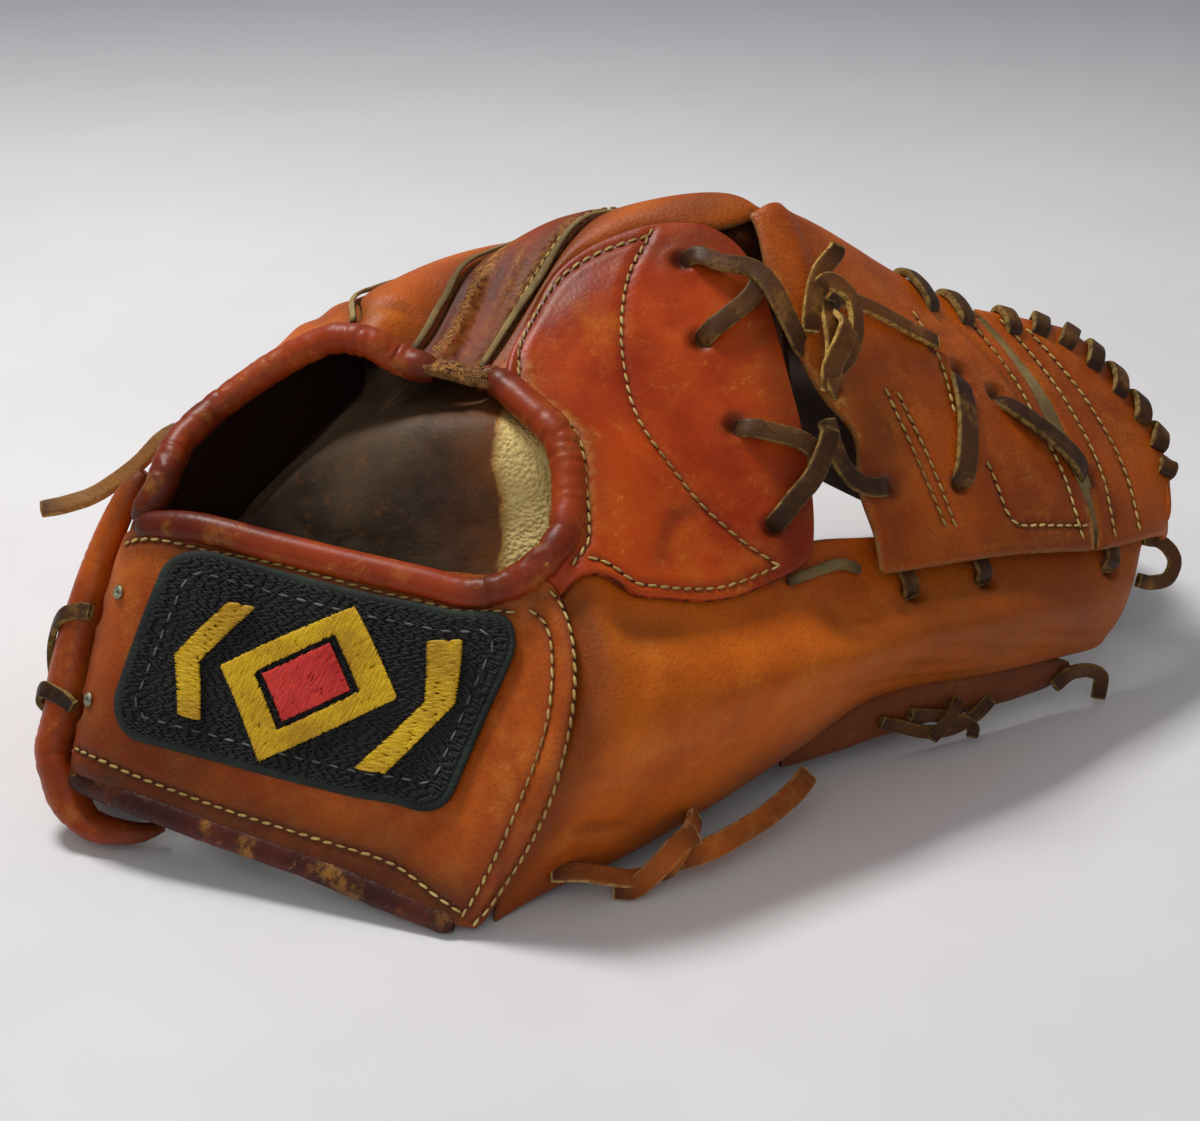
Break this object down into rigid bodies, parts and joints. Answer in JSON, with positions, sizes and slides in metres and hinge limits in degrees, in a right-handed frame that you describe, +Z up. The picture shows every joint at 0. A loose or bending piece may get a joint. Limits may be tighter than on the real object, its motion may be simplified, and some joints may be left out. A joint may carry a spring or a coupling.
{
  "type": "baseball infield glove",
  "caption": "Worn leather baseball infield glove lying palm down: padded palm, laced web, finger backs, rolled hand opening and a wrist strap with a plain woven patch.",
  "frame": {"origin": "middle of the bottom of the bounding box, on the surface that the glove lies on", "axes": "+X from the wrist to the finger tips, +Y away from the thumb towards the little finger, +Z up from the surface"},
  "size_m": [0.2934, 0.2126, 0.1312],
  "materials": {
    "tan_leather": "smooth tan cowhide, semi gloss, creased",
    "red_brown_leather": "glossy red-brown cowhide, scuffed",
    "worn_leather": "dark worn leather, cracked",
    "roll_leather": "rolled binding leather, glossy",
    "dark_roll_leather": "dark rolled binding, torn",
    "palm_hide": "matt palm leather",
    "lining_leather": "worn dark lining",
    "lace_leather": "dark rawhide lace with pale cut edges",
    "tan_lace_leather": "tan lace",
    "welt_leather": "olive suede welt",
    "patch_cloth": "black embroidery with a merrowed edge",
    "red_thread": "red satin stitch",
    "gold_thread": "gold satin stitch",
    "eyelet_metal": "dull metal eyelet"
  },
  "bodies": {
    "root": {"thumb_back": "tan_leather", "index_back": "tan_leather", "ring_back": "tan_leather", "little_back": "tan_leather", "wrist_strap": "tan_leather", "web_panel": "tan_leather", "web_end": "tan_leather", "crotch_panel": "red_brown_leather", "middle_back": "worn_leather", "opening_binding_worn": "worn_leather", "opening_binding_left": "roll_leather", "opening_binding_right": "roll_leather", "strap_top_binding": "roll_leather", "heel_binding": "roll_leather", "strap_bottom_binding": "dark_roll_leather", "palm_leather": "palm_hide", "palm_lining": "lining_leather", "crotch_lace_upper": "lace_leather", "crotch_lace_lower": "lace_leather", "web_knot": "lace_leather", "web_slot_lace": "lace_leather", "web_slant_lace": "lace_leather", "web_edge_lace": "lace_leather", "web_thumb_lace_near": "lace_leather", "web_thumb_lace_middle": "lace_leather", "web_thumb_lace_far": "lace_leather", "thumb_tip_loop": "lace_leather", "thumb_tip_tail": "lace_leather", "thumb_under_knot": "lace_leather", "strap_end_lace": "lace_leather", "heel_knot": "tan_lace_leather", "left_tail": "tan_lace_leather", "welt_ring_little": "welt_leather", "welt_middle_ring": "welt_leather", "welt_index_middle": "welt_leather", "web_welt": "welt_leather", "thumb_top_piping": "welt_leather", "patch": "patch_cloth", "motif_red_diamond": "red_thread", "motif_gold_frame": "gold_thread", "motif_gold_chevron_left": "gold_thread", "motif_gold_chevron_right": "gold_thread", "eyelet_upper": "eyelet_metal", "eyelet_lower": "eyelet_metal"}
  },
  "joints": []
}
